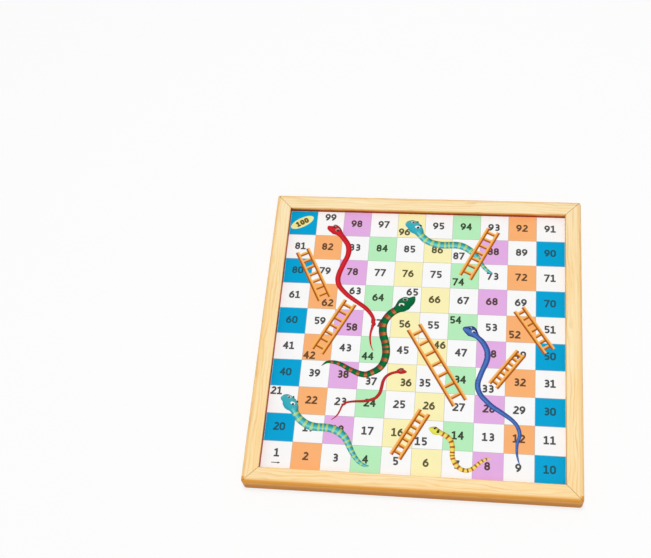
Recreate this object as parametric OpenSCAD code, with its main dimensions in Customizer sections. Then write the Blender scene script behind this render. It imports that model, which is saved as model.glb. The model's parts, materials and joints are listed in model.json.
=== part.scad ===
// Two-sided games board in a mitred wooden frame.
// Snakes and ladders faces up, ludo faces down. Lengths are in millimetres.
// The origin is at the middle of the underside, +Y points away from the player.

/* [Frame] */
// Outer side of the square frame
board_side = 300; // [220:5:450]
// Width of a rail, seen from above
rail_w = 15; // [13.5:0.5:24]
// Height of a rail
rail_h = 19; // [14:0.5:24]
// Rounding of the outer long edges
edge_r = 2.4; // [0.5:0.1:2.8]
// Rounding of the upright corners of the frame
corner_r = 3; // [3:0.1:6]
// Rounding of the edges beside the playing field
inner_edge_r = 0.8; // [0.2:0.1:1.5]

/* [Panel] */
// Thickness of the stiff board between the two printed sheets
core_t = 5; // [3:0.5:7]
// Thickness of one printed sheet
sheet_t = 0.5; // [0.2:0.1:1]
// Depth of the groove that holds the panel
groove_depth = 4.5; // [3:0.5:6]
// Gap between the edge of the panel and the bottom of the groove
panel_gap = 0.5; // [0.2:0.1:1]
// Play of the panel between the cheeks of the groove
groove_fit = 0.2; // [0.1:0.05:0.4]

/* [Corner dowels] */
// Diameter of a dowel
dowel_d = 5; // [4:0.5:6]
// Length of a dowel
dowel_len = 10; // [8:0.5:12]
// How much wider the bore is than its dowel
dowel_fit = 0.1; // [0.05:0.05:0.3]
// Room for glue at each end of a dowel
dowel_end_gap = 0.5; // [0.2:0.1:1]

/* [Print] */
// Thickness of one layer of ink
ink_t = 0.05; // [0.02:0.01:0.1]
// Width of the lines between the squares
line_w = 0.3; // [0.2:0.1:0.8]
// Height of a numeral
numeral_h = 7.8; // [5:0.2:9]
// Stroke width of a numeral
numeral_stroke = 1.7; // [0.8:0.1:1.8]
// Space between the two digits of a number
digit_gap = 0.4; // [0.3:0.1:1.5]
// Height of the smaller numeral in the finish oval
finish_numeral_h = 6; // [4:0.2:7]
// Length of a printed arrow
arrow_len = 8; // [5:0.5:12]
// Width of an arrow's shaft
arrow_w = 0.7; // [0.4:0.1:1.2]

/* [Ladders] */
// Width of a ladder's side rails
ladder_rail_w = 2.8; // [1.6:0.1:3.4]
// Width of a rung
rung_w = 2.8; // [1.6:0.1:3.4]

/* [Ludo] */
// Diameter of the white disc in a yard
yard_disc_d = 90; // [60:1:100]
// Diameter of a counter's spot in a yard
spot_d = 20; // [12:0.5:26]
// Distance of a spot from the middle of its yard, along each side
spot_offset = 20; // [14:0.5:26]
// Diameter of the plain disc in the middle
centre_disc_d = 36; // [20:1:40]
// Distance of the thin ring from the edge of the white disc
ring_inset = 3; // [2:0.5:6]

/* [Hidden] */
$fn = 64;
over = 1;
squares = 10;
cells = 15;

panel_t = core_t + 2 * sheet_t;
core_z = (rail_h - core_t) / 2;
face_z = core_z + core_t + sheet_t;
field = board_side - 2 * rail_w;
square_w = field / squares;
cell_w = field / cells;
panel_side = field + 2 * (groove_depth - panel_gap);

// Layers of the upper print, from the sheet up
squares_z = face_z;
numeral_z = squares_z + ink_t;
snake_z = numeral_z + ink_t;
band_z = snake_z + ink_t;
pupil_z = band_z + ink_t;
ladder_z = pupil_z + ink_t;
shade_z = ladder_z + ink_t;

pine = [0.98, 0.86, 0.66];
beech = [0.85, 0.68, 0.47];
fibreboard = [0.62, 0.46, 0.30];
paper_white = [0.99, 0.99, 0.99];
ink_blue = [0.00, 0.63, 0.84];
ink_orange = [1.00, 0.68, 0.43];
ink_green = [0.70, 0.95, 0.71];
ink_yellow = [1.00, 0.94, 0.65];
ink_purple = [0.89, 0.67, 0.92];
ink_grey = [0.78, 0.78, 0.78];
ink_dark = [0.29, 0.29, 0.29];
ink_lemon = [0.99, 0.95, 0.55];
ink_red = [0.86, 0.14, 0.19];
ink_teal = [0.20, 0.70, 0.80];
ink_lime = [0.75, 0.85, 0.45];
ink_fir = [0.02, 0.45, 0.24];
ink_brick = [0.82, 0.33, 0.22];
ink_royal = [0.22, 0.42, 0.74];
ink_sun = [0.97, 0.85, 0.25];
ink_maroon = [0.66, 0.25, 0.14];
ink_amber = [1.00, 0.68, 0.33];
ink_umber = [0.75, 0.36, 0.04];
ludo_blue_ink = [0.00, 0.63, 0.85];
ludo_red_ink = [0.87, 0.16, 0.13];
ludo_green_ink = [0.48, 0.74, 0.06];
ludo_yellow_ink = [1.00, 0.75, 0.14];

// Each snake runs from its snout to the tip of its tail. A row holds the place
// across and up the field and the width of the body there, as shares of a square.
long_red_shares = [
    [1.40, 9.36, 0.03], [1.43, 9.35, 0.135], [1.55, 9.285, 0.26], [1.695, 9.245, 0.40],
    [1.82, 9.155, 0.31], [1.93, 9.035, 0.21], [2.08, 8.85, 0.20], [2.225, 8.63, 0.20],
    [2.275, 8.40, 0.205], [2.25, 8.16, 0.19], [2.165, 7.92, 0.19], [2.075, 7.67, 0.19],
    [2.00, 7.42, 0.19], [1.98, 7.18, 0.19], [2.045, 6.955, 0.185], [2.20, 6.755, 0.175],
    [2.43, 6.54, 0.165], [2.75, 6.315, 0.155], [3.045, 6.11, 0.155], [3.24, 5.905, 0.14],
    [3.37, 5.685, 0.125], [3.385, 5.48, 0.115], [3.335, 5.24, 0.085], [3.31, 5.02, 0.07],
    [3.33, 4.80, 0.06], [3.38, 4.61, 0.04], [3.46, 4.46, 0.02]];
upper_teal_shares = [
    [4.275, 9.60, 0.04], [4.31, 9.59, 0.20], [4.48, 9.545, 0.42], [4.62, 9.43, 0.48],
    [4.755, 9.29, 0.385], [4.855, 9.125, 0.27], [5.02, 8.95, 0.275], [5.22, 8.83, 0.26],
    [5.44, 8.76, 0.275], [5.67, 8.73, 0.275], [5.90, 8.74, 0.275], [6.12, 8.75, 0.275],
    [6.32, 8.72, 0.275], [6.50, 8.645, 0.265], [6.67, 8.53, 0.25], [6.81, 8.40, 0.23],
    [6.92, 8.26, 0.20], [7.03, 8.08, 0.17], [7.15, 7.90, 0.145], [7.29, 7.75, 0.125],
    [7.45, 7.65, 0.06]];
green_shares = [
    [4.80, 6.585, 0.03], [4.76, 6.565, 0.14], [4.645, 6.435, 0.33], [4.465, 6.33, 0.515],
    [4.315, 6.19, 0.45], [4.17, 6.07, 0.285], [3.985, 5.925, 0.28], [3.835, 5.725, 0.275],
    [3.745, 5.505, 0.28], [3.735, 5.28, 0.28], [3.765, 5.06, 0.28], [3.84, 4.83, 0.28],
    [3.89, 4.61, 0.28], [3.91, 4.38, 0.275], [3.885, 4.16, 0.265], [3.81, 3.95, 0.255],
    [3.675, 3.775, 0.245], [3.49, 3.655, 0.225], [3.28, 3.56, 0.22], [3.065, 3.575, 0.215],
    [2.86, 3.65, 0.195], [2.635, 3.755, 0.175], [2.43, 3.87, 0.165], [2.22, 3.945, 0.145],
    [2.02, 3.97, 0.115], [1.86, 3.94, 0.085], [1.71, 3.81, 0.02]];
blue_shares = [
    [6.51, 5.47, 0.03], [6.54, 5.455, 0.125], [6.665, 5.40, 0.295], [6.80, 5.345, 0.41],
    [6.915, 5.245, 0.30], [7.02, 5.14, 0.18], [7.175, 4.99, 0.195], [7.30, 4.80, 0.20],
    [7.375, 4.60, 0.205], [7.385, 4.39, 0.205], [7.33, 4.16, 0.20], [7.24, 3.93, 0.185],
    [7.16, 3.70, 0.185], [7.09, 3.45, 0.19], [7.105, 3.205, 0.185], [7.215, 2.98, 0.175],
    [7.395, 2.785, 0.175], [7.60, 2.60, 0.17], [7.83, 2.455, 0.165], [8.05, 2.31, 0.155],
    [8.235, 2.175, 0.14], [8.39, 2.01, 0.135], [8.48, 1.825, 0.135], [8.51, 1.62, 0.125],
    [8.44, 1.395, 0.11], [8.425, 1.18, 0.09], [8.43, 1.00, 0.08], [8.47, 0.80, 0.055],
    [8.53, 0.62, 0.02]];
small_red_shares = [
    [4.67, 3.72, 0.02], [4.64, 3.72, 0.075], [4.55, 3.725, 0.165], [4.47, 3.74, 0.225],
    [4.39, 3.725, 0.175], [4.31, 3.695, 0.10], [4.14, 3.64, 0.10], [3.97, 3.515, 0.10],
    [3.88, 3.33, 0.11], [3.845, 3.12, 0.115], [3.80, 2.905, 0.115], [3.67, 2.72, 0.11],
    [3.47, 2.625, 0.105], [3.25, 2.575, 0.095], [3.03, 2.56, 0.085], [2.81, 2.53, 0.075],
    [2.66, 2.48, 0.075], [2.55, 2.365, 0.065], [2.49, 2.19, 0.055], [2.40, 2.01, 0.05],
    [2.23, 1.85, 0.02]];
lower_teal_shares = [
    [0.435, 2.60, 0.04], [0.47, 2.58, 0.18], [0.615, 2.52, 0.38], [0.765, 2.36, 0.48],
    [0.89, 2.22, 0.385], [0.97, 2.065, 0.25], [1.12, 1.85, 0.275], [1.335, 1.685, 0.28],
    [1.55, 1.59, 0.295], [1.78, 1.565, 0.28], [2.00, 1.565, 0.28], [2.22, 1.545, 0.28],
    [2.42, 1.485, 0.28], [2.59, 1.38, 0.27], [2.735, 1.255, 0.25], [2.84, 1.10, 0.22],
    [2.925, 0.925, 0.205], [3.025, 0.745, 0.185], [3.14, 0.58, 0.16], [3.28, 0.43, 0.14],
    [3.45, 0.33, 0.105], [3.62, 0.31, 0.03]];
yellow_shares = [
    [5.53, 1.745, 0.02], [5.555, 1.725, 0.10], [5.665, 1.685, 0.245], [5.765, 1.64, 0.275],
    [5.88, 1.605, 0.19], [5.985, 1.555, 0.17], [6.135, 1.475, 0.18], [6.26, 1.34, 0.17],
    [6.32, 1.17, 0.17], [6.335, 1.00, 0.165], [6.335, 0.83, 0.165], [6.38, 0.66, 0.165],
    [6.475, 0.505, 0.165], [6.62, 0.385, 0.15], [6.81, 0.34, 0.145], [6.99, 0.405, 0.14],
    [7.135, 0.535, 0.13], [7.28, 0.67, 0.115], [7.43, 0.76, 0.09], [7.60, 0.78, 0.03]];

// Foot and head of each ladder's left side rail and its width over both rails,
// as shares of a square
ladder_shares = [
    [[1.333, 4.434], [2.332, 6.381], 0.505], [[1.390, 6.310], [0.391, 8.238], 0.510],
    [[6.344, 7.538], [7.291, 9.484], 0.505], [[6.312, 2.555], [4.617, 5.301], 0.560],
    [[4.327, 0.752], [5.206, 2.378], 0.435], [[7.487, 3.439], [8.401, 4.692], 0.395],
    [[9.317, 4.608], [8.277, 6.168], 0.435]];
rungs = 7;
first_rung_share = 0.09;
last_rung_share = 0.92;
shade_share = 0.50;

// Numbers that stand out of the middle of their square to clear a figure,
// each with the place of its middle in shares of a square
moved_number_shares = [
    [99, 1.49, 9.77], [96, 4.25, 9.24], [87, 6.26, 8.31], [74, 6.28, 7.26],
    [62, 1.69, 6.25], [63, 2.64, 6.76], [65, 4.68, 6.79], [58, 2.63, 5.33],
    [54, 6.24, 5.76], [52, 8.28, 5.29], [46, 5.74, 4.78], [44, 3.28, 4.25],
    [42, 1.24, 4.19], [37, 3.46, 3.32], [36, 4.65, 3.33], [35, 5.29, 3.35],
    [33, 7.42, 3.24], [21, 0.24, 2.82], [15, 5.28, 1.26], [1, 0.50, 0.60]];
number_middle_share = [0.48, 0.53];

// Width of a digit, its bowls and the bar of a 4, as shares of its height
digit_w_share = 0.69;
upper_bowl_share = 0.31;
lower_bowl_share = 0.33;
waist_share = 0.25;
five_bowl_share = 0.33;
six_back_share = 0.68;
// Where strokes of a digit begin and end, as shares of its width
one_flag_share = 0.08;
one_foot_share = 0.90;
three_bar_share = 0.30;
five_stem_share = 0.14;
five_end_share = 0.94;
seven_foot_share = 0.30;
// Angles at which the bowls of a digit open, the neck of a 2 leaves its bowl and
// the bowls of a 3 end in its bar
bowl_open = 145;
two_open = 160;
two_neck = 30;
five_open = 130;
six_open = 105;
three_meet = 100;
// Width of a level stroke beside that of an upright one
level_share = 0.90;
level_w = level_share * numeral_stroke;

// The finish oval, as shares of a square
oval_middle_share = [0.445, 9.525];
oval_len_share = 0.915;
oval_w_share = 0.38;
oval_turn = 31;
// Middle of the arrow under the number 1
start_arrow_share = [0.50, 0.25];

function number_at(col, row) = row * squares + (row % 2 == 0 ? col + 1 : squares - col);
function digit_of(n) = n % squares;
function middle_of(n) =
    let (row = floor((n - 1) / squares), step = (n - 1) % squares,
         col = row % 2 == 0 ? step : squares - 1 - step)
    [col, row] + number_middle_share;
function moved_to(n) = [for (m = moved_number_shares) if (m[0] == n) [m[1], m[2]]];
function number_place(n) = len(moved_to(n)) > 0 ? moved_to(n)[0] : middle_of(n);
function on_field(p) = [p[0] * square_w - field / 2, p[1] * square_w - field / 2];

// A smooth curve through the rows of a route, at station t counted in rows
look_step = 0.05;
function row_of(route, i) = route[max(0, min(len(route) - 1, i))];
function along(route, t) =
    let (i = min(floor(t), len(route) - 2), u = t - i,
         a = row_of(route, i - 1), b = row_of(route, i),
         c = row_of(route, i + 1), d = row_of(route, i + 2))
    (2 * b + (c - a) * u + (2 * a - 5 * b + 4 * c - d) * u * u
     + (3 * b - a - 3 * c + d) * u * u * u) / 2;
function heading(route, t) =
    let (p = along(route, max(0, t - look_step)),
         q = along(route, min(len(route) - 1, t + look_step)), v = [q[0] - p[0], q[1] - p[1]])
    v / norm(v);
function side_point(route, t, side) =
    let (p = along(route, t), v = heading(route, t))
    [p[0] - side * v[1] * p[2] / 2, p[1] + side * v[0] * p[2] / 2];
function ribbon(route, from, to, steps) = concat(
    [for (i = [0 : steps]) side_point(route, from + (to - from) * i / steps, 1)],
    [for (i = [steps : -1 : 0]) side_point(route, from + (to - from) * i / steps, -1)]);

// Frame

module round_off(r) {
    difference() {
        translate([-over, -over]) square(r + over);
        translate([r, r]) circle(r);
    }
}

// Cross-section of a rail: outer face at x = 0, underside at y = 0
module rail_section() {
    difference() {
        square([rail_w, rail_h]);
        round_off(edge_r);
        translate([0, rail_h]) mirror([0, 1]) round_off(edge_r);
        translate([rail_w, 0]) mirror([1, 0]) round_off(inner_edge_r);
        translate([rail_w, rail_h]) mirror([1, 0]) mirror([0, 1]) round_off(inner_edge_r);
        translate([rail_w - groove_depth, (rail_h - panel_t - groove_fit) / 2])
            square([groove_depth + over, panel_t + groove_fit]);
    }
}

module corner_section() {
    difference() {
        square([corner_r, rail_h]);
        translate([corner_r, 0]) mirror([1, 0]) round_off(edge_r);
        translate([corner_r, rail_h]) mirror([1, 0]) mirror([0, 1]) round_off(edge_r);
    }
}

// Plan of a rail between its mitres
module mitred_plan() {
    polygon([[-over, -over], [board_side + over, -over],
             [board_side - rail_w, rail_w], [board_side - rail_w, rail_w + over],
             [rail_w, rail_w + over], [rail_w, rail_w]]);
}

// What is taken off at a corner of the frame to round it
module corner_relief() {
    difference() {
        translate([-over, -over, -over])
            cube([corner_r + over, corner_r + over, rail_h + 2 * over]);
        translate([corner_r, corner_r, 0]) rotate_extrude() corner_section();
    }
}

module dowel_line(length, diameter) {
    translate([rail_w / 2, rail_w / 2, rail_h / 2]) rotate([0, 0, -45])
        rotate([0, 90, 0]) cylinder(h = length, d = diameter, center = true);
}

module dowel_bore() {
    dowel_line(dowel_len + 2 * dowel_end_gap, dowel_d + dowel_fit);
}

module rail_end_cuts() {
    corner_relief();
    dowel_bore();
}

module at_corner(k) {
    rotate([0, 0, 90 * k]) translate([-board_side / 2, -board_side / 2, 0]) children();
}

module rail(k) {
    color(pine) at_corner(k) difference() {
        intersection() {
            rotate([90, 0, 90]) linear_extrude(board_side) rail_section();
            translate([0, 0, -over]) linear_extrude(rail_h + 2 * over) mitred_plan();
        }
        rail_end_cuts();
        translate([board_side, 0, 0]) mirror([1, 0, 0]) rail_end_cuts();
    }
}

module rail_front() rail(0);
module rail_right() rail(1);
module rail_back() rail(2);
module rail_left() rail(3);

module corner_dowels() {
    color(beech) for (k = [0 : 3]) at_corner(k) dowel_line(dowel_len, dowel_d);
}

// Panel

module plate(z, thickness) {
    translate([-panel_side / 2, -panel_side / 2, z]) cube([panel_side, panel_side, thickness]);
}

module core_board() color(fibreboard) plate(core_z, core_t);
module sheet_snakes() color(paper_white) plate(core_z + core_t, sheet_t);
module sheet_ludo() color(paper_white) plate(core_z - sheet_t, sheet_t);

// Squares and lines

module ink(z) {
    translate([0, 0, z]) linear_extrude(ink_t) children();
}

module bar(length, width) {
    square([length, width], center = true);
}

module squares_ending(last_digit) {
    side = square_w - line_w;
    for (row = [0 : squares - 1], col = [0 : squares - 1])
        if (digit_of(number_at(col, row)) == last_digit)
            translate(on_field([col + 1 / 2, row + 1 / 2])) bar(side, side);
}

module squares_blue() color(ink_blue) ink(squares_z) squares_ending(0);
module squares_orange() color(ink_orange) ink(squares_z) squares_ending(2);
module squares_green() color(ink_green) ink(squares_z) squares_ending(4);
module squares_yellow() color(ink_yellow) ink(squares_z) squares_ending(6);
module squares_purple() color(ink_purple) ink(squares_z) squares_ending(8);

module grid_lines() {
    length = field - line_w;
    color(ink_grey) ink(squares_z) for (i = [1 : squares - 1]) {
        translate([on_field([i, 0])[0], 0]) bar(line_w, length);
        translate([0, on_field([0, i])[1]]) bar(length, line_w);
    }
}

// Numerals: each digit is drawn from straight strokes and round ones.
// A digit is h high and stands on the line y = 0 from x = 0.

module stroke(from, to, width) {
    run = to - from;
    translate(from) rotate(atan2(run[1], run[0])) translate([0, -width / 2])
        square([norm(run), width]);
}

module bend(middle, outer_r, from, to) {
    translate([middle[0], middle[1], 0]) rotate([0, 0, from])
        rotate_extrude(angle = to - from)
        translate([outer_r - numeral_stroke, 0]) square([numeral_stroke, ink_t]);
}

module flat() {
    linear_extrude(ink_t) children();
}

module digit_zero(h) {
    w = digit_w_share * h;
    for (x = [numeral_stroke / 2, w - numeral_stroke / 2])
        flat() stroke([x, w / 2], [x, h - w / 2], numeral_stroke);
    bend([w / 2, h - w / 2], w / 2, 0, 180);
    bend([w / 2, w / 2], w / 2, 180, 360);
}

module digit_one(h) {
    w = digit_w_share * h;
    foot = w * one_foot_share;
    flat() {
        stroke([w / 2, 0], [w / 2, h], numeral_stroke);
        stroke([w * one_flag_share, h - numeral_stroke], [w / 2, h - level_w / 2], level_w);
        stroke([(w - foot) / 2, level_w / 2], [(w + foot) / 2, level_w / 2], level_w);
    }
}

module digit_two(h) {
    w = digit_w_share * h;
    s = numeral_stroke;
    r = upper_bowl_share * h;
    neck = r - s / 2;
    bend([w - r, h - r], r, -two_neck, two_open);
    flat() {
        stroke([w - r + neck * cos(two_neck), h - r - neck * sin(two_neck)],
               [s / 2, s / 2], s);
        stroke([0, level_w / 2], [w, level_w / 2], level_w);
    }
}

module digit_three(h) {
    w = digit_w_share * h;
    r = upper_bowl_share * h;
    q = lower_bowl_share * h;
    waist = h - 2 * r + numeral_stroke / 2;
    bend([w - q, h - r], r, -three_meet, bowl_open);
    bend([w - q, q], q, -bowl_open, three_meet);
    flat() stroke([w * three_bar_share, waist], [w - q + numeral_stroke / 2, waist], level_w);
}

module digit_four(h) {
    w = digit_w_share * h;
    stem = w - numeral_stroke;
    waist = h * waist_share + level_w / 2;
    flat() {
        stroke([stem, 0], [stem, h], numeral_stroke);
        stroke([0, waist], [w, waist], level_w);
        stroke([level_w / 2, waist], [stem, h - level_w / 2], level_w);
    }
}

module digit_five(h) {
    w = digit_w_share * h;
    q = five_bowl_share * h;
    stem = w * five_stem_share + level_w / 2;
    bend([w - q, q], q, -bowl_open, five_open);
    flat() {
        stroke([w * five_stem_share, h - level_w / 2],
               [w * five_end_share, h - level_w / 2], level_w);
        stroke([stem, 2 * q - numeral_stroke], [stem, h], level_w);
    }
}

module digit_six(h) {
    q = digit_w_share * h / 2;
    back_r = h * six_back_share;
    bend([q, q], q, 0, 360);
    bend([back_r, q], back_r, six_open, 180);
}

module digit_seven(h) {
    w = digit_w_share * h;
    s = numeral_stroke;
    flat() {
        stroke([0, h - level_w / 2], [w, h - level_w / 2], level_w);
        stroke([w * seven_foot_share, 0], [w - s / 2, h - s / 2], s);
    }
}

module digit_eight(h) {
    w = digit_w_share * h;
    r = upper_bowl_share * h;
    q = lower_bowl_share * h;
    bend([w / 2, h - r], r, 0, 360);
    bend([w / 2, q], q, 0, 360);
}

module digit_nine(h) {
    translate([digit_w_share * h, h, 0]) rotate([0, 0, 180]) digit_six(h);
}

module digit(d, h) {
    if (d == 0) digit_zero(h);
    if (d == 1) digit_one(h);
    if (d == 2) digit_two(h);
    if (d == 3) digit_three(h);
    if (d == 4) digit_four(h);
    if (d == 5) digit_five(h);
    if (d == 6) digit_six(h);
    if (d == 7) digit_seven(h);
    if (d == 8) digit_eight(h);
    if (d == 9) digit_nine(h);
}

// A whole number, centred on the origin
module number(n, h) {
    w = digit_w_share * h;
    step = w + digit_gap;
    digits = n < squares ? [n]
        : n < squares * squares ? [floor(n / squares), n % squares] : [1, 0, 0];
    for (i = [0 : len(digits) - 1])
        translate([step * (i - (len(digits) - 1) / 2) - w / 2, -h / 2, 0]) digit(digits[i], h);
}

module numerals() {
    color(ink_dark) {
        for (n = [1 : squares * squares - 1]) {
            place = on_field(number_place(n));
            translate([place[0], place[1], numeral_z]) number(n, numeral_h);
        }
        finish = on_field(oval_middle_share);
        translate([finish[0], finish[1], snake_z]) rotate([0, 0, oval_turn])
            number(squares * squares, finish_numeral_h);
    }
}

// An oval centred on the origin
module oval(length, width) {
    polygon([for (i = [0 : $fn - 1]) let (turn = 360 * i / $fn)
        [length * cos(turn), width * sin(turn)] / 2]);
}

module finish_oval() {
    color(ink_lemon) ink(numeral_z) translate(on_field(oval_middle_share))
        rotate(oval_turn) oval(oval_len_share * square_w, oval_w_share * square_w);
}

// An arrow along +X, centred on the origin, with a head some shafts wide and long
head_shafts = 3;

module arrow() {
    head = head_shafts * arrow_w;
    translate([-head / 2, 0]) bar(arrow_len - head, arrow_w);
    translate([arrow_len / 2 - head, 0]) polygon([[0, -head / 2], [head, 0], [0, head / 2]]);
}

module start_arrow() {
    color(ink_dark) ink(numeral_z) translate(on_field(start_arrow_share)) arrow();
}

// Snakes

steps_a_row = 3;

module snake(route) {
    last = len(route) - 1;
    ink(snake_z) translate([-field / 2, -field / 2])
        polygon(square_w * ribbon(route, 0, last, last * steps_a_row));
}

// Bands across a snake: the middle of each, counted in rows of its route
upper_teal_band_shares = [5.2, 6.15, 7.3, 8.35, 9.35, 9.95, 10.6, 11.7, 12.9, 14.05, 14.8,
    16.1, 16.95, 17.9, 18.7];
lower_teal_band_shares = [5.3, 6.15, 7.1, 8.15, 9.2, 9.85, 10.45, 11.6, 12.7, 13.9, 14.9,
    15.85, 16.85, 17.75, 18.6, 19.5];
green_band_shares = [5.55, 6.75, 8.25, 9.75, 11.05, 11.95, 12.75, 14.1, 15.55, 17.05, 18.1,
    19.35, 20.55, 21.6, 22.7, 23.8];
yellow_band_shares = [5.15, 6.15, 7.25, 8.3, 9.4, 10.05, 10.65, 11.65, 12.55, 13.5, 14.25,
    15.05, 15.85, 16.55, 17.3, 18.1];
// Length of a band beside the distance from one to the next
band_share = 0.46;

module bands(route, middles) {
    last = len(middles) - 1;
    for (i = [0 : last]) {
        from = max(0, i - 1);
        to = min(last, i + 1);
        reach = band_share * (middles[to] - middles[from]) / (to - from) / 2;
        ink(band_z) translate([-field / 2, -field / 2])
            polygon(square_w * ribbon(route, middles[i] - reach, middles[i] + reach, 2));
    }
}

module snake_long_red() color(ink_red) snake(long_red_shares);
module snake_upper_teal() color(ink_teal) snake(upper_teal_shares);
module snake_green() color(ink_fir) snake(green_shares);
module snake_blue() color(ink_royal) snake(blue_shares);
module snake_small_red() color(ink_red) snake(small_red_shares);
module snake_lower_teal() color(ink_teal) snake(lower_teal_shares);
module snake_yellow() color(ink_sun) snake(yellow_shares);

module bands_teal() {
    color(ink_lime) {
        bands(upper_teal_shares, upper_teal_band_shares);
        bands(lower_teal_shares, lower_teal_band_shares);
    }
}

module bands_green() color(ink_brick) bands(green_shares, green_band_shares);
module bands_yellow() color(ink_maroon) bands(yellow_shares, yellow_band_shares);

// Eyes as ovals: place, length and width as shares of a square, and turn in degrees
eye_white_shares = [
    [1.665, 9.385, 0.13, 0.10, -30], [1.79, 9.25, 0.17, 0.13, 30],
    [4.54, 9.66, 0.14, 0.09, -15], [4.72, 9.455, 0.19, 0.115, -10],
    [4.45, 6.49, 0.19, 0.13, 0], [4.325, 6.275, 0.21, 0.12, 5],
    [6.775, 5.48, 0.12, 0.09, 30], [6.885, 5.345, 0.13, 0.09, -10],
    [4.46, 3.765, 0.09, 0.06, 0], [0.72, 2.60, 0.14, 0.09, -15],
    [0.855, 2.375, 0.17, 0.105, -20]];
pupil_shares = [
    [1.66, 9.365, 0.10, 0.07, -30], [1.80, 9.215, 0.11, 0.08, 0],
    [4.555, 9.645, 0.08, 0.06, 0], [4.735, 9.435, 0.105, 0.08, 10],
    [4.445, 6.475, 0.11, 0.08, -10], [4.335, 6.245, 0.12, 0.085, -15],
    [6.755, 5.46, 0.065, 0.085, 0], [6.90, 5.32, 0.08, 0.065, 0],
    [4.465, 3.765, 0.05, 0.04, 0], [0.71, 2.59, 0.075, 0.06, 0],
    [0.865, 2.345, 0.085, 0.07, 0], [5.735, 1.745, 0.12, 0.05, 35],
    [5.82, 1.615, 0.08, 0.055, 0]];
// The dark lids and lashes beside the eyes, written the same way
lash_shares = [
    [1.70, 9.44, 0.13, 0.035, -10], [1.875, 9.29, 0.12, 0.05, -60],
    [4.54, 9.715, 0.11, 0.025, 5], [4.71, 9.675, 0.09, 0.05, -15],
    [4.835, 9.525, 0.10, 0.055, -40], [4.45, 6.57, 0.13, 0.025, 0],
    [4.20, 6.28, 0.08, 0.055, 20], [6.84, 5.51, 0.09, 0.045, -45],
    [6.965, 5.375, 0.075, 0.06, -30], [4.455, 3.83, 0.08, 0.03, 25],
    [4.53, 3.83, 0.06, 0.035, -35], [0.86, 2.605, 0.08, 0.05, -75],
    [1.01, 2.44, 0.08, 0.05, -50], [5.85, 1.68, 0.11, 0.04, 15]];

module eye_oval(eye)
    translate(on_field(eye)) rotate(eye[4]) oval(square_w * eye[2], square_w * eye[3]);

module eye_whites() color(paper_white) ink(band_z) for (eye = eye_white_shares) eye_oval(eye);

module eye_pupils() color(ink_dark) ink(pupil_z) {
    for (eye = pupil_shares) eye_oval(eye);
    for (lash = lash_shares) eye_oval(lash);
}

// Ladders

// Puts its children in a ladder's own frame: X climbs its left side rail
module at_ladder(ladder) {
    run = ladder[1] - ladder[0];
    translate(on_field(ladder[0])) rotate(atan2(run[1], run[0])) children();
}

function ladder_len(ladder) = square_w * norm(ladder[1] - ladder[0]);
function rung_x(ladder, i) = ladder_len(ladder)
    * (first_rung_share + (last_rung_share - first_rung_share) * i / (rungs - 1));

module ladder(ladder) {
    width = ladder[2] * square_w;
    at_ladder(ladder) {
        for (y = [0, ladder_rail_w - width])
            translate([0, y - ladder_rail_w / 2]) square([ladder_len(ladder), ladder_rail_w]);
        for (i = [0 : rungs - 1])
            translate([rung_x(ladder, i) - rung_w / 2, ladder_rail_w - width])
                square([rung_w, width - ladder_rail_w]);
    }
}

// The darker side of each rail, on the player's side of it, and the foot side of
// each rung
module ladder_shade(ladder) {
    width = ladder[2] * square_w;
    lean = sign(ladder[1][0] - ladder[0][0]);
    shade_w = ladder_rail_w * shade_share;
    at_ladder(ladder) {
        for (y = [0, ladder_rail_w - width])
            translate([0, y - lean * (ladder_rail_w - shade_w) / 2 - shade_w / 2])
                square([ladder_len(ladder), shade_w]);
        for (i = [0 : rungs - 1])
            translate([rung_x(ladder, i) - rung_w / 2, 3 / 2 * ladder_rail_w - width])
                square([rung_w * shade_share, width - 2 * ladder_rail_w]);
    }
}

module ladders() color(ink_amber) ink(ladder_z) for (l = ladder_shares) ladder(l);
module ladder_shading() color(ink_umber) ink(shade_z) for (l = ladder_shares) ladder_shade(l);

// Ludo face. It is drawn as it is seen when the board is turned over, and then
// turned about the long axis of the middle of the board.

home_cells = 5;
yard_cells = 6;
arm_cells = 3;
yard_middle = cell_w * (arm_cells + yard_cells) / 2 * [1, 1];
// Cells counted from the middle of the board
start_cell_share = [1, 6];
grey_cell_share = [-1, 5];
arrow_cell_share = [1, 4.5];
star_share = 0.4;
star_waist_share = 0.4;

module turned_over() {
    translate([0, 0, rail_h]) rotate([0, 180, 0]) children();
}

module cell_at(cell) {
    translate(cell_w * cell) bar(cell_w, cell_w);
}

module four_sides() {
    for (k = [0 : 3]) rotate([0, 0, -90 * k]) children();
}

// All that is printed in one player's colour. Side 0 is the far side and the
// sides follow clockwise.
module player(k) {
    home_y = cell_w * arm_cells / 2;
    base = home_y - line_w;
    turned_over() rotate([0, 0, -90 * k]) {
        ink(squares_z) {
            translate(yard_middle) bar(cell_w * yard_cells, cell_w * yard_cells);
            translate([0, cell_w * (arm_cells + home_cells) / 2])
                bar(cell_w, cell_w * home_cells);
            cell_at(start_cell_share);
            polygon([[-base, home_y], [0, line_w], [base, home_y]]);
        }
        ink(snake_z) translate(yard_middle)
            for (x = [-1, 1], y = [-1, 1]) translate(spot_offset * [x, y]) circle(d = spot_d);
    }
}

module ludo_red() color(ludo_red_ink) player(0);
module ludo_green() color(ludo_green_ink) player(1);
module ludo_yellow() color(ludo_yellow_ink) player(2);
module ludo_blue() color(ludo_blue_ink) player(3);

module ludo_grey_cells() {
    color(ink_grey) turned_over() ink(squares_z) four_sides() cell_at(grey_cell_share);
}

module ludo_discs() {
    color(paper_white) turned_over() ink(numeral_z) {
        circle(d = centre_disc_d);
        four_sides() translate(yard_middle) circle(d = yard_disc_d);
    }
}

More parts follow.
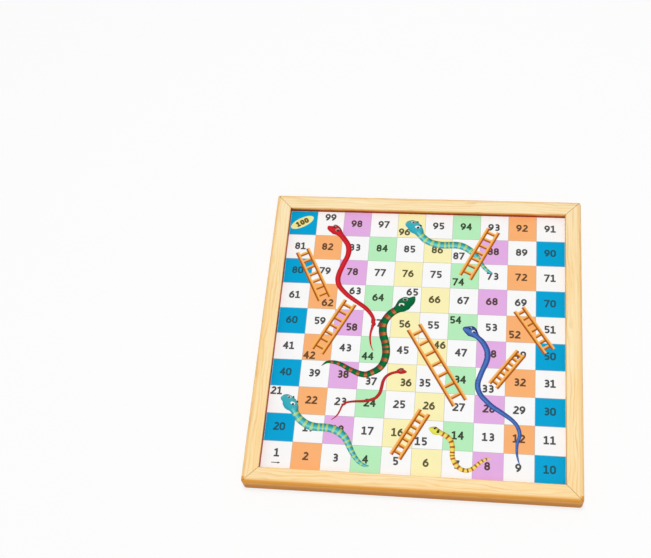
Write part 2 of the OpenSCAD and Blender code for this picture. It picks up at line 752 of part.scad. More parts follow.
module star(r) {
    polygon([for (i = [0 : 9]) let (q = i % 2 == 0 ? r : r * star_waist_share)
        q * [sin(36 * i), cos(36 * i)]]);
}

module ludo_stars() {
    color(paper_white) turned_over() ink(numeral_z) four_sides()
        for (cell = [start_cell_share, grey_cell_share])
            translate(cell_w * cell) star(cell_w * star_share);
}

module arm_lines() {
    arm_w = cell_w * arm_cells;
    for (x = [0 : arm_cells])
        translate([cell_w * (x - arm_cells / 2), cell_w * (arm_cells + yard_cells) / 2])
            bar(line_w, cell_w * yard_cells - line_w);
    for (y = [0 : yard_cells - 1])
        translate([0, cell_w * (y + arm_cells / 2) + line_w / 2]) bar(arm_w, line_w);
}

module ludo_lines() {
    ring_d = yard_disc_d - 2 * ring_inset;
    color(ink_dark) turned_over() {
        ink(snake_z) four_sides() arm_lines();
        ink(snake_z) four_sides() translate(yard_middle) difference() {
            circle(d = ring_d);
            circle(d = ring_d - 2 * line_w);
        }
    }
}

module ludo_arrows() {
    color(ink_dark) turned_over() ink(squares_z) four_sides()
        translate(cell_w * arrow_cell_share) rotate(-90) arrow();
}

rail_front();
rail_right();
rail_back();
rail_left();
corner_dowels();
core_board();
sheet_snakes();
sheet_ludo();
squares_blue();
squares_orange();
squares_green();
squares_yellow();
squares_purple();
grid_lines();
numerals();
finish_oval();
start_arrow();
snake_long_red();
snake_upper_teal();
snake_green();
snake_blue();
snake_small_red();
snake_lower_teal();
snake_yellow();
bands_teal();
bands_green();
bands_yellow();
eye_whites();
eye_pupils();
ladders();
ladder_shading();
ludo_blue();
ludo_red();
ludo_green();
ludo_yellow();
ludo_grey_cells();
ludo_discs();
ludo_stars();
ludo_lines();
ludo_arrows();
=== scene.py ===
import json
import math
import bmesh
import bpy
from mathutils import Matrix, Vector


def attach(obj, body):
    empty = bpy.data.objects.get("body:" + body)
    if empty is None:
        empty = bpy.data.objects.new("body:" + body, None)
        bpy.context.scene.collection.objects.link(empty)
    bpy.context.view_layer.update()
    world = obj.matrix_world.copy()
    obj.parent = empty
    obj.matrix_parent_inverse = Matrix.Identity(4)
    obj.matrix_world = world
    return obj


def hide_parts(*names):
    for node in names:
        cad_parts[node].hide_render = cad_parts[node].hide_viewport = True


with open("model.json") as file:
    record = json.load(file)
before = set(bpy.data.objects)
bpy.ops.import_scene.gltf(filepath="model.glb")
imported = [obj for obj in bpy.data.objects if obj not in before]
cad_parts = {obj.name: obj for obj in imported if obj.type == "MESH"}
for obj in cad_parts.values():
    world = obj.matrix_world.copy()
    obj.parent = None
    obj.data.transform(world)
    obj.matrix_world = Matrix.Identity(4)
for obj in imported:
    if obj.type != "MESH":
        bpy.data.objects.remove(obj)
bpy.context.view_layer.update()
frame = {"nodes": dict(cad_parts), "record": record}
nodes = frame["nodes"]
mm = 0.001


# sums on shader sockets
class Wire:
    def __init__(self, finish, socket):
        self.finish, self.socket = finish, socket

    def maths(self, operation, other=0.0, flipped=False):
        pair = (other, self) if flipped else (self, other)
        return self.finish.node("Math", {"operation": operation}, {0: pair[0], 1: pair[1]})

    def __add__(self, other): return self.maths("ADD", other)
    def __radd__(self, other): return self.maths("ADD", other, True)
    def __sub__(self, other): return self.maths("SUBTRACT", other)
    def __rsub__(self, other): return self.maths("SUBTRACT", other, True)
    def __mul__(self, other): return self.maths("MULTIPLY", other)
    def __rmul__(self, other): return self.maths("MULTIPLY", other, True)
    def __truediv__(self, other): return self.maths("DIVIDE", other)
    def __abs__(self): return self.maths("ABSOLUTE")

    def lesser(self, other): return self.maths("MINIMUM", other)
    def greater(self, other): return self.maths("MAXIMUM", other)

    def step(self, low, high, bottom=0.0, top=1.0):  # a soft step from low to high
        return self.finish.node("MapRange", {"interpolation_type": "SMOOTHSTEP"},
                                {0: self, 1: low, 2: high, 3: bottom, 4: top})


class Finish:
    def __init__(self, name, roughness=0.5, coat=0.0, coatRoughness=0.1, specular=0.5):
        self.material = bpy.data.materials.new(name)
        self.material.use_nodes = True
        self.tree = self.material.node_tree
        self.shader = self.tree.nodes["Principled BSDF"]
        self.shader.inputs["Roughness"].default_value = roughness
        self.shader.inputs["Coat Weight"].default_value = coat
        self.shader.inputs["Coat Roughness"].default_value = coatRoughness
        self.shader.inputs["Specular IOR Level"].default_value = specular

    def node(self, kind, settings=None, values=None, out=0):
        made = self.tree.nodes.new("ShaderNode" + kind)
        for key, value in (settings or {}).items():
            if key == "stops":
                while len(made.color_ramp.elements) < len(value):
                    made.color_ramp.elements.new(0.5)
                for element, (place, colour) in zip(made.color_ramp.elements, value):
                    element.position, element.color = place, colour
            else:
                setattr(made, key, value)
        for key, value in (values or {}).items():
            if isinstance(value, Wire):
                self.tree.links.new(value.socket, made.inputs[key])
            else:
                made.inputs[key].default_value = value
        return Wire(self, made.outputs[out])

    def mix(self, share, first, second, blend="MIX"):
        return self.node("Mix", {"data_type": "RGBA", "blend_type": blend},
                         {0: share, 6: first, 7: second}, 2)

    def ramp(self, share, *stops):
        return self.node("ValToRGB", {"stops": stops}, {0: share})

    def scaled(self, place, x, y, z):
        return self.node("VectorMath", {"operation": "MULTIPLY"}, {0: place, 1: (x, y, z)})

    def noise(self, place, scale=1.0, detail=2.0, rough=0.5):
        return self.node("TexNoise", {}, {"Vector": place, "Scale": scale, "Detail": detail,
                                          "Roughness": rough})

    def parts(self, place):
        made = self.node("SeparateXYZ", {}, {0: place})
        return [Wire(self, made.socket.node.outputs[i]) for i in range(3)]

    def at(self, output="Object"):  # place or normal in the frame of the piece
        return self.node("TexCoord", {}, {}, output)

    def stored(self, name, output="Vector"):
        return self.node("Attribute", {"attribute_name": name}, {}, output)

    def onStrip(self):  # shares of the way along and across a printed strip
        return self.parts(self.node("UVMap", {"uv_map": "UVMap"}))[:2]

    def feed(self, name, wire):
        self.tree.links.new(wire.socket, self.shader.inputs[name])

    def bump(self, height, distance, strength=1.0):
        self.feed("Normal", self.node("Bump", {}, {"Height": height, "Distance": distance,
                                                   "Strength": strength}))


def rgb(red, green, blue):  # a screen colour as the shader wants it
    def linear(c):
        c /= 255
        return c / 12.92 if c <= 0.04045 else ((c + 0.055) / 1.055) ** 2.4
    return (linear(red), linear(green), linear(blue), 1.0)


def clearSelection():
    if bpy.context.object and bpy.context.object.mode != "OBJECT":
        bpy.ops.object.mode_set(mode="OBJECT")
    bpy.ops.object.select_all(action="DESELECT")


def startPiece(name):  # names the primitive that was just added
    piece = bpy.context.object
    piece.name = piece.data.name = name
    return piece


def pick(kind, test):  # edit mode, with the edges or faces that pass the test selected
    bpy.ops.object.mode_set(mode="EDIT")
    bpy.ops.mesh.select_mode(type=kind)
    bpy.ops.mesh.select_all(action="DESELECT")
    mesh = bmesh.from_edit_mesh(bpy.context.object.data)
    mesh.normal_update()
    for part in {"EDGE": mesh.edges, "FACE": mesh.faces}[kind]:
        if test(part):
            part.select_set(True)
    mesh.select_flush_mode()
    bmesh.update_edit_mesh(bpy.context.object.data)


def startEdit():
    bpy.ops.object.mode_set(mode="EDIT")
    bpy.ops.mesh.select_all(action="SELECT")


def finishEdit():
    bpy.ops.object.mode_set(mode="OBJECT")


def copyPiece(piece, name, matrix):
    twin = piece.copy()
    twin.data = piece.data.copy()
    twin.data.transform(matrix)
    twin.name = twin.data.name = name
    bpy.context.scene.collection.objects.link(twin)
    return twin


def joinPieces(pieces, name):
    clearSelection()
    for piece in pieces:
        piece.select_set(True)
    bpy.context.view_layer.objects.active = pieces[0]
    if len(pieces) > 1:
        bpy.ops.object.join()
    return startPiece(name)


def dress(piece, finish):
    piece.data.materials.clear()
    piece.data.materials.append(finish.material)


def fit(piece, finish, slot, *replaced):  # dresses a finished piece and puts it on the frame
    dress(piece, finish)
    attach(piece, "root")
    if replaced:
        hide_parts(*replaced)


# camera, light and floor
shot = {"place": (0.0549, -0.4363, 0.9707), "turn": (0.4846, 0.1055, 0.0940), "lens": 61.89,
        "sensor": 36, "nearest": 0.01, "farthest": 30}
bpy.ops.object.camera_add(location=shot["place"], rotation=shot["turn"])
camera = bpy.context.object
camera.name = "pictureCamera"
camera.data.sensor_width = shot["sensor"]
camera.data.lens = shot["lens"]
camera.data.clip_start, camera.data.clip_end = shot["nearest"], shot["farthest"]
bpy.context.scene.camera = camera
bpy.context.scene.view_settings.view_transform = "Standard"

# power and size of each lamp and where it stands, aimed at the middle of the board
lamps = {"keyLamp": (19.7, 0.35, (-0.02, 0.03, 1.9)),
         "fillLamp": (1.6, 1.0, (0.3, -1.1, 1.5))}
white = (1, 1, 1, 1)
skyGlow = 0.40  # what the white sky gives as light
for name, (power, breadth, place) in lamps.items():
    bpy.ops.object.light_add(type="AREA", location=place)
    lamp = bpy.context.object
    lamp.name = name
    lamp.data.shape = "SQUARE"
    lamp.data.size = breadth
    lamp.data.energy = power
    lamp.rotation_euler = Vector(place).to_track_quat("Z", "Y").to_euler()

world = bpy.data.worlds.new("studio")
bpy.context.scene.world = world
world.use_nodes = True
sky = world.node_tree
background = sky.nodes["Background"]
background.inputs[0].default_value = white
rays = sky.nodes.new("ShaderNodeLightPath").outputs
seen = rays["Is Camera Ray"]
for kind in ("Is Glossy Ray", "Is Transmission Ray"):  # in sight and in reflections it is white
    either = sky.nodes.new("ShaderNodeMath")
    either.operation = "MAXIMUM"
    sky.links.new(seen, either.inputs[0])
    sky.links.new(rays[kind], either.inputs[1])
    seen = either.outputs[0]
strength = sky.nodes.new("ShaderNodeMapRange")
strength.inputs[3].default_value = skyGlow
sky.links.new(seen, strength.inputs[0])
sky.links.new(strength.outputs[0], background.inputs[1])

ground = {"breadth": 12, "drop": 0.05 * mm, "grey": 0.94, "roughness": 0.9, "glow": 0.8,
          "fadeFrom": 0.6, "fadeTo": 2.6}  # far off the floor is as white as the sky
bpy.ops.mesh.primitive_plane_add(size=ground["breadth"], location=(0, 0, -ground["drop"]))
floor = startPiece("studioFloor")
floorFinish = Finish("paleFloor", roughness=ground["roughness"])
floorFinish.shader.inputs["Base Color"].default_value = (*(ground["grey"],) * 3, 1)
ray = floorFinish.node("LightPath", {}, {}, "Is Camera Ray")
glow = floorFinish.node("Emission", {}, {"Color": white, "Strength": 1.0})
away = floorFinish.node("VectorMath", {"operation": "LENGTH"}, {0: floorFinish.at()}, "Value")
share = ray * away.step(ground["fadeFrom"], ground["fadeTo"], ground["glow"], 1.0)
blended = floorFinish.node("MixShader", {}, {0: share, 2: glow})
floorFinish.tree.links.new(floorFinish.shader.outputs[0], blended.socket.node.inputs[1])
floorFinish.tree.links.new(blended.socket, floorFinish.tree.nodes["Material Output"].inputs[0])
floor.data.materials.append(floorFinish.material)
print("camera, light and floor are set")

# frame of four mitred pine rails
rail = {"side": 300 * mm, "width": 15 * mm, "height": 19 * mm, "edge": 2.4 * mm,
        "corner": 3 * mm, "innerEdge": 0.8 * mm, "grooveHalf": 3.1 * mm,
        "grooveDepth": 4.5 * mm, "mitreEase": 0.12 * mm, "arcSegments": 8, "innerSegments": 4,
        "easeSegments": 2}
half = rail["side"] / 2
wall = half - rail["width"]
# side, sideLow, outer, outerLow, round, roundFar, arris and foot are tones of painted shade on the
# walls, roundings and edges
pineTone = {"pale": (255, 234, 187), "warm": (255, 222, 162), "streak": (240, 188, 114),
            "fibre": (240, 196, 128), "side": (250, 178, 66), "sideLow": (206, 130, 28),
            "outer": (252, 204, 124), "outerLow": (240, 184, 102),
            "round": (226, 157, 66), "roundFar": (252, 212, 148), "sideStreak": (220, 142, 58),
            "foot": (168, 44, 0), "arris": (240, 182, 98), "mitre": (172, 114, 58),
            "near": (255, 214, 146), "far": (255, 242, 204)}
# noises of the wood: scale along, across and up the grain, detail and roughness
grainNoise = {"drift": ((9, 60, 60), 3.0, 0.5), "sway": ((24, 130, 130), 2.0, 0.5),
              "patch": ((11, 110, 110), 2.0, 0.5), "strength": ((17, 200, 200), 1.0, 0.5),
              "fibre": ((60, 2600, 2600), 3.0, 0.6), "streak": ((16, 700, 700), 2.0, 0.5)}
pineGrain = {"ring": 3.1 * mm, "lean": 0.4, "drift": 20 * mm, "sway": 5 * mm,
             "ringShare": 0.62, "streakShare": 0.50, "fibreShare": 0.22, "sideShare": 0.5,
             "nearShare": 0.22, "farShare": 0.45, "footRise": 2.6 * mm, "bump": 0.05 * mm}
# where a tone sets in and where it ends: across the board, across a rail, then up from below
pineReach = {"near": (-140 * mm, -50 * mm), "far": (50 * mm, 140 * mm),
             "front": (5 * mm - half, 6.2 * mm - half), "left": (0.5 * mm - wall, 1.5 * mm - wall),
             "back": (wall - 1.5 * mm, wall - 0.5 * mm),
             "arris": (2.4 * mm, 4.8 * mm), "outer": (3 * mm, 6 * mm), "inner": (10 * mm, 13 * mm),
             "inside": (14.4 * mm, 14.95 * mm), "mitre": (0.22 * mm, 0.66 * mm),
             "low": (8.55 * mm, 18.05 * mm), "foot": (15.1 * mm, 17.4 * mm)}


def pineFinish():
    f = Finish("lacqueredPine", roughness=0.45, coat=0.04, coatRoughness=0.35, specular=0.15)
    colour = {name: rgb(*tone) for name, tone in pineTone.items()}
    grain = f.stored("grainAt")
    across, up = f.parts(grain)[1:]
    noises = {name: f.noise(f.scaled(grain, *scale), 1.0, detail, rough)
              for name, (scale, detail, rough) in grainNoise.items()}
    patch, fibre, streak = noises["patch"], noises["fibre"], noises["streak"]

    # late wood, darker to one side of each ring and not everywhere as strong
    ring = (across + up * pineGrain["lean"] + (noises["drift"] - 0.5) * pineGrain["drift"]
            + (noises["sway"] - 0.5) * pineGrain["sway"]) / pineGrain["ring"]
    wave = ring.maths("FRACT")
    late = wave.step(0.30, 0.82) * wave.step(0.86, 1.0, 1.0, 0.0)
    rings = late * noises["strength"].step(0.35, 0.7, 0.25, 1.0)

    # level faces, warmer near the player and paler at the back
    x, y, z = f.parts(f.at())
    tone = f.mix(patch.step(0.3, 0.7), colour["pale"], colour["warm"])
    tone = f.mix(y.step(*pineReach["near"], pineGrain["nearShare"], 0.0), tone, colour["near"])
    tone = f.mix(y.step(*pineReach["far"], 0.0, pineGrain["farShare"]), tone, colour["far"])
    tone = f.mix(rings * pineGrain["ringShare"], tone, colour["streak"])
    tone = f.mix(streak.step(0.52, 0.80) * pineGrain["streakShare"], tone, colour["fibre"])
    tone = f.mix(fibre.step(0.35, 0.75) * pineGrain["fibreShare"], tone, colour["fibre"])

    # side faces: painted shade, deep at the front and on the left and back walls, paler elsewhere
    # and darker towards the bottom; the rounding is painted darker at the front
    alongRail, inRail, upRail = f.parts(f.stored("railAt"))
    level = abs(f.parts(f.at("Normal"))[2])
    low = upRail.step(*pineReach["low"], 1.0, 0.0)
    front = y.step(*pineReach["front"], 1.0, 0.0)
    onLeft = x.step(*pineReach["left"], 1.0, 0.0)
    shadedWall = onLeft.greater(y.step(*pineReach["back"]))
    paleOuter = inRail.step(*pineReach["outer"], 1.0, 0.0) * (1.0 - front)
    paleInner = inRail.step(*pineReach["inner"]) * (1.0 - shadedWall)
    side = f.mix((paleOuter + paleInner).lesser(1.0),
                 f.mix(low, colour["side"], colour["sideLow"]),
                 f.mix(low, colour["outer"], colour["outerLow"]))
    rounding = f.mix(front, colour["roundFar"], colour["round"])
    side = f.mix(level.step(0.05, 0.6), side, rounding)
    side = f.mix(rings * pineGrain["sideShare"], side, colour["sideStreak"])

    # painted shade along the outer edge of the top, a little all round and strongest at the front,
    # painted shade at the foot of the inner walls, deepest on the left and back, and the line of
    # the mitres
    edge = inRail.step(*pineReach["arris"], 1.0, 0.0)
    tone = f.mix(edge * (0.25 + front * 0.65), tone, colour["arris"])
    # faces tilted away from level take the painted shade of the sides
    tone = f.mix(level.step(0.965, 1.0, 0.97, 0.0), tone, side)
    foot = (z - onLeft * pineGrain["footRise"]).step(*pineReach["foot"], 1.0, 0.0)
    inside = inRail.step(*pineReach["inside"])
    tone = f.mix(foot * inside * (0.3 + shadedWall * 0.65), tone, colour["foot"])
    fromMitre = abs(alongRail - inRail).lesser(abs(rail["side"] - alongRail - inRail))
    mitre = fromMitre.step(*pineReach["mitre"], 1.0, 0.0)
    tone = f.mix(mitre * (0.35 + patch * 0.6), tone, colour["mitre"])
    f.feed("Base Color", tone)
    f.feed("Roughness", 0.38 + fibre * 0.12 + late * 0.06)
    f.bump(fibre * 0.5 + streak * 0.3 - late * 0.25, pineGrain["bump"], 0.5)
    return f


def onWall(face, way):  # way is 1 for the outer wall and -1 for the inner one
    return abs(face.normal.z) < 0.1 and face.normal.dot(face.calc_center_median()) * way > 0


def arris(edge, way):  # an edge between a level face and a wall
    faces = edge.link_faces
    return len(faces) == 2 and any(abs(face.normal.z) > 0.9 for face in faces) \
        and any(onWall(face, way) for face in faces)


def cornerEdge(edge):  # upright, in one of the four outer corners
    low, high = (vertex.co for vertex in edge.verts)
    return abs(high.z - low.z) > 1 * mm \
        and all(min(abs(end.x), abs(end.y)) > half - 1 * mm for end in (low, high))


def isMitre(face):
    return abs(abs(face.normal.x) - abs(face.normal.y)) < 0.001 \
        and abs(face.normal.z) < 0.001 and face.calc_area() > 100 * mm * mm


bpy.ops.mesh.primitive_plane_add(size=rail["side"], location=(0, 0, 0))
frontRail = startPiece("frontRail")
pick("FACE", lambda face: True)
bpy.ops.mesh.inset(thickness=rail["width"])
pick("FACE", lambda face: face.calc_center_median().length < 1 * mm)
bpy.ops.mesh.delete(type="FACE")
pick("FACE", lambda face: True)
bpy.ops.mesh.extrude_region_move(TRANSFORM_OT_translate={"value": (0, 0, rail["height"])})
bpy.ops.mesh.select_all(action="SELECT")
bpy.ops.mesh.normals_make_consistent(inside=False)
pick("EDGE", cornerEdge)
bpy.ops.mesh.bevel(offset=rail["corner"], segments=rail["arcSegments"], affect="EDGES")
pick("EDGE", lambda edge: arris(edge, 1))
bpy.ops.mesh.bevel(offset=rail["edge"], segments=rail["arcSegments"], affect="EDGES")
pick("EDGE", lambda edge: arris(edge, -1))
bpy.ops.mesh.bevel(offset=rail["innerEdge"], segments=rail["innerSegments"], affect="EDGES")
for side in (-1, 1):  # the groove for the panel
    bpy.ops.mesh.select_all(action="SELECT")
    bpy.ops.mesh.bisect(plane_co=(0, 0, rail["height"] / 2 + side * rail["grooveHalf"]),
                        plane_no=(0, 0, 1))
pick("FACE", lambda face: onWall(face, -1)
     and abs(face.calc_center_median().z - rail["height"] / 2) < rail["grooveHalf"])
bpy.ops.mesh.extrude_region_shrink_fatten(
    TRANSFORM_OT_shrink_fatten={"value": -rail["grooveDepth"], "use_even_offset": True})
for side in (-1, 1):  # the two mitres
    bpy.ops.mesh.select_all(action="SELECT")
    bpy.ops.mesh.bisect(plane_co=(0, 0, 0), plane_no=(side, 1, 0), use_fill=True,
                        clear_outer=True)
pick("EDGE", lambda edge: sum(isMitre(face) for face in edge.link_faces) == 1)
bpy.ops.mesh.bevel(offset=rail["mitreEase"], segments=rail["easeSegments"], affect="EDGES")
finishEdit()
bpy.ops.object.shade_smooth_by_angle(angle=math.radians(30))
mesh = frontRail.data
for attribute in ("grainAt", "railAt"):
    spots = mesh.attributes.new(attribute, "FLOAT_VECTOR", "POINT")
    for vertex in mesh.vertices:
        spots.data[vertex.index].vector = vertex.co + Vector((half, half, 0))
pine = pineFinish()
rails = {"rail_front": frontRail}
for turns, node in enumerate(("rail_right", "rail_back", "rail_left"), 1):
    twin = copyPiece(frontRail, node.split("_")[1] + "Rail",
                     Matrix.Rotation(turns * math.pi / 2, 4, "Z"))
    for spot in twin.data.attributes["grainAt"].data:  # each from another stretch of the plank
        spot.vector = Vector(spot.vector) + Vector((0.7, 0.31, 0.17)) * turns
    rails[node] = twin
for node, piece in rails.items():
    fit(piece, pine, "pine", node)
print("rails are made,", len(mesh.polygons), "faces each")


# printed sheets
coating = {"roughness": 0.41, "specular": 0.03, "fleckScale": 1300, "cloudScale": 70,
           "fleckShade": 0.022, "cloudShade": 0.018, "bump": 0.01 * mm}


def printFinish(name):
    return Finish(name, specular=coating["specular"])


def inkSurface(f, tone):  # fine fleck and cloud of print on coated paper
    fleck = f.noise(f.at(), coating["fleckScale"])
    cloud = f.noise(f.at(), coating["cloudScale"])
    shade = 1.0 - cloud.step(0.3, 0.7) * coating["cloudShade"] - fleck * coating["fleckShade"]
    grey = f.node("CombineColor", {}, {0: shade, 1: shade, 2: shade})
    f.feed("Base Color", f.mix(1.0, tone, grey, "MULTIPLY"))
    f.feed("Roughness", coating["roughness"] + fleck * 0.08)
    f.bump(fleck * 0.6 + cloud * 0.4, coating["bump"], 0.3)


def plainInk(name, colour):
    f = printFinish(name)
    inkSurface(f, rgb(*colour))
    return f


inkColours = {
    "paper_white": (253, 253, 253), "ink_blue": (4, 166, 217), "ink_orange": (254, 181, 118),
    "ink_green": (186, 241, 192), "ink_yellow": (254, 245, 186), "ink_purple": (231, 177, 232),
    "ink_grey": (172, 172, 168), "ink_dark": (52, 50, 50), "ludo_blue": (0, 160, 216),
    "ludo_red": (222, 40, 32), "ludo_green": (122, 188, 16), "ludo_yellow": (255, 190, 36)}
inks = {slot: plainInk("print_" + slot, colour) for slot, colour in inkColours.items()}
slotOf = {part["node"]: part["material_slot"] for part in frame["record"]["subparts"]}
for node, slot in slotOf.items():
    if slot in inks:
        dress(nodes[node], inks[slot])


# ink of the numerals, tinted by the square under it
numeralTones = {"white": (83, 81, 80), "blue": (36, 91, 107), "orange": (106, 74, 50),
                "green": (58, 74, 54), "yellow": (97, 88, 58), "purple": (87, 67, 55),
                "oval": (92, 82, 56)}
squareOrder = ("blue", "white", "orange", "white", "green", "white", "yellow", "white",
               "purple", "white")  # by the last digit of the number
ovalTop = (12.61 * mm, 12.63 * mm)  # the number on the oval is printed a layer higher
square = 27 * mm


def numeralFinish():
    f = printFinish("numeralPrint")
    x, y, z = f.parts(f.at())
    column = (x / square + 5.0).maths("FLOOR")
    row = (y / square + 5.0).maths("FLOOR")
    odd = row.maths("MODULO", 2.0)  # in every second row the numbers run back
    number = (column + 1.0) * (1.0 - odd) + (10.0 - column) * odd
    last = number.maths("MODULO", 10.0) / 10 + 0.05
    tone = f.ramp(last, *[(k / 10, rgb(*numeralTones[kind]))
                          for k, kind in enumerate(squareOrder)])
    tone.socket.node.color_ramp.interpolation = "CONSTANT"
    inkSurface(f, f.mix(z.step(*ovalTop), tone, rgb(*numeralTones["oval"])))
    return f


dress(nodes["numerals"], numeralFinish())


# hidden woods: name, light and dark tone and how fine the specks are along each axis
woods = {"corner_dowels": ("beechDowel", (226, 188, 142), (206, 160, 112), (300, 900, 900)),
         "core_board": ("pressedFibre", (172, 132, 90), (140, 104, 68), (1500, 1500, 1500))}
for node, (name, light, dark, scale) in woods.items():
    plain = Finish(name, roughness=0.7)
    speck = plain.noise(plain.scaled(plain.at(), *scale), 1.0, 4.0, 0.6)
    plain.feed("Base Color", plain.mix(speck.step(0.35, 0.65), rgb(*light), rgb(*dark)))
    plain.bump(speck, 0.05 * mm, 0.4)
    dress(nodes[node], plain)
print("sheets and woods are finished")

# thickness of one layer of ink and how high each kind of print lies
layer = {"ink": 0.05 * mm, "oval": 12.55 * mm, "snakes": 12.60 * mm, "bands": 12.65 * mm,
         "pupils": 12.70 * mm, "ladders": 12.75 * mm}


def onField(x, y, z=0.0):
    return Vector(((x - 5) * square, (y - 5) * square, z))


def thicken(thickness):  # the flat mesh in edit mode gets its thickness and outward faces
    bpy.ops.mesh.select_all(action="SELECT")
    bpy.ops.mesh.extrude_region_move(TRANSFORM_OT_translate={"value": (0, 0, thickness)})
    bpy.ops.mesh.select_all(action="SELECT")
    bpy.ops.mesh.normals_make_consistent(inside=False)


def printStrip(stations, z, thickness, cuts):  # its UV runs along and across it
    clearSelection()
    last = len(stations) - 1
    bpy.ops.mesh.primitive_grid_add(x_subdivisions=last, y_subdivisions=cuts, size=1)
    strip = bpy.context.object
    for vertex in strip.data.vertices:
        middle, arm = stations[round((vertex.co.x + 0.5) * last)]
        at = middle + arm * 2 * vertex.co.y
        vertex.co = onField(at.x, at.y, z)
    startEdit()
    thicken(thickness)
    finishEdit()
    return strip


# snakes, each from its snout to the tip of its tail: across and up the field, width
snakeRoutes = {
    "longRed": [
        (1.4, 9.36, 0.03), (1.43, 9.35, 0.135), (1.55, 9.285, 0.26), (1.695, 9.245, 0.4),
        (1.82, 9.155, 0.31), (1.93, 9.035, 0.21), (2.08, 8.85, 0.2), (2.225, 8.63, 0.2),
        (2.275, 8.4, 0.205), (2.25, 8.16, 0.19), (2.165, 7.92, 0.19), (2.075, 7.67, 0.19),
        (2, 7.42, 0.19), (1.98, 7.18, 0.19), (2.045, 6.955, 0.185), (2.2, 6.755, 0.175),
        (2.43, 6.54, 0.165), (2.75, 6.315, 0.155), (3.045, 6.11, 0.155), (3.24, 5.905, 0.14),
        (3.37, 5.685, 0.125), (3.385, 5.48, 0.115), (3.335, 5.24, 0.085), (3.31, 5.02, 0.07),
        (3.33, 4.8, 0.06), (3.38, 4.61, 0.04), (3.46, 4.46, 0.02)],
    "upperTeal": [
        (4.275, 9.6, 0.04), (4.31, 9.59, 0.2), (4.48, 9.545, 0.42), (4.62, 9.43, 0.48),
        (4.755, 9.29, 0.385), (4.855, 9.125, 0.27), (5.02, 8.95, 0.275), (5.22, 8.83, 0.26),
        (5.44, 8.76, 0.275), (5.67, 8.73, 0.275), (5.9, 8.74, 0.275), (6.12, 8.75, 0.275),
        (6.32, 8.72, 0.275), (6.5, 8.645, 0.265), (6.67, 8.53, 0.25), (6.81, 8.4, 0.23),
        (6.92, 8.26, 0.2), (7.03, 8.08, 0.17), (7.15, 7.9, 0.145), (7.29, 7.75, 0.125),
        (7.45, 7.65, 0.06)],
    "green": [
        (4.8, 6.585, 0.03), (4.76, 6.565, 0.14), (4.645, 6.435, 0.33), (4.465, 6.33, 0.515),
        (4.315, 6.19, 0.45), (4.17, 6.07, 0.285), (3.985, 5.925, 0.28), (3.835, 5.725, 0.275),
        (3.745, 5.505, 0.28), (3.735, 5.28, 0.28), (3.765, 5.06, 0.28), (3.84, 4.83, 0.28),
        (3.89, 4.61, 0.28), (3.91, 4.38, 0.275), (3.885, 4.16, 0.265), (3.81, 3.95, 0.255),
        (3.675, 3.775, 0.245), (3.49, 3.655, 0.225), (3.28, 3.56, 0.22), (3.065, 3.575, 0.215),
        (2.86, 3.65, 0.195), (2.635, 3.755, 0.175), (2.43, 3.87, 0.165), (2.22, 3.945, 0.145),
        (2.02, 3.97, 0.115), (1.86, 3.94, 0.085), (1.71, 3.81, 0.02)],
    "blue": [
        (6.51, 5.47, 0.03), (6.54, 5.455, 0.125), (6.665, 5.4, 0.295), (6.8, 5.345, 0.41),
        (6.915, 5.245, 0.3), (7.02, 5.14, 0.18), (7.175, 4.99, 0.195), (7.3, 4.8, 0.2),
        (7.375, 4.6, 0.205), (7.385, 4.39, 0.205), (7.33, 4.16, 0.2), (7.24, 3.93, 0.185),
        (7.16, 3.7, 0.185), (7.09, 3.45, 0.19), (7.105, 3.205, 0.185), (7.215, 2.98, 0.175),
        (7.395, 2.785, 0.175), (7.6, 2.6, 0.17), (7.83, 2.455, 0.165), (8.05, 2.31, 0.155),
        (8.235, 2.175, 0.14), (8.39, 2.01, 0.135), (8.48, 1.825, 0.135), (8.51, 1.62, 0.125),
        (8.44, 1.395, 0.11), (8.425, 1.18, 0.09), (8.43, 1, 0.08), (8.47, 0.8, 0.055),
        (8.53, 0.62, 0.02)],
    "smallRed": [
        (4.67, 3.72, 0.02), (4.64, 3.72, 0.075), (4.55, 3.725, 0.165), (4.47, 3.74, 0.225),
        (4.39, 3.725, 0.175), (4.31, 3.695, 0.1), (4.14, 3.64, 0.1), (3.97, 3.515, 0.1),
        (3.88, 3.33, 0.11), (3.845, 3.12, 0.115), (3.8, 2.905, 0.115), (3.67, 2.72, 0.11),
        (3.47, 2.625, 0.105), (3.25, 2.575, 0.095), (3.03, 2.56, 0.085), (2.81, 2.53, 0.075),
        (2.66, 2.48, 0.075), (2.55, 2.365, 0.065), (2.49, 2.19, 0.055), (2.4, 2.01, 0.05),
        (2.23, 1.85, 0.02)],
    "lowerTeal": [
        (0.435, 2.6, 0.04), (0.47, 2.58, 0.18), (0.615, 2.52, 0.38), (0.765, 2.36, 0.48),
        (0.89, 2.22, 0.385), (0.97, 2.065, 0.25), (1.12, 1.85, 0.275), (1.335, 1.685, 0.28),
        (1.55, 1.59, 0.295), (1.78, 1.565, 0.28), (2, 1.565, 0.28), (2.22, 1.545, 0.28),
        (2.42, 1.485, 0.28), (2.59, 1.38, 0.27), (2.735, 1.255, 0.25), (2.84, 1.1, 0.22),
        (2.925, 0.925, 0.205), (3.025, 0.745, 0.185), (3.14, 0.58, 0.16), (3.28, 0.43, 0.14),
        (3.45, 0.33, 0.105), (3.62, 0.31, 0.03)],
    "yellow": [
        (5.53, 1.745, 0.02), (5.555, 1.725, 0.1), (5.665, 1.685, 0.245), (5.765, 1.64, 0.275),
        (5.88, 1.605, 0.19), (5.985, 1.555, 0.17), (6.135, 1.475, 0.18), (6.26, 1.34, 0.17),
        (6.32, 1.17, 0.17), (6.335, 1, 0.165), (6.335, 0.83, 0.165), (6.38, 0.66, 0.165),
        (6.475, 0.505, 0.165), (6.62, 0.385, 0.15), (6.81, 0.34, 0.145), (6.99, 0.405, 0.14),
        (7.135, 0.535, 0.13), (7.28, 0.67, 0.115), (7.43, 0.76, 0.09), (7.6, 0.78, 0.03)]}
steps = {"aRow": 6, "across": 6, "look": 0.05}


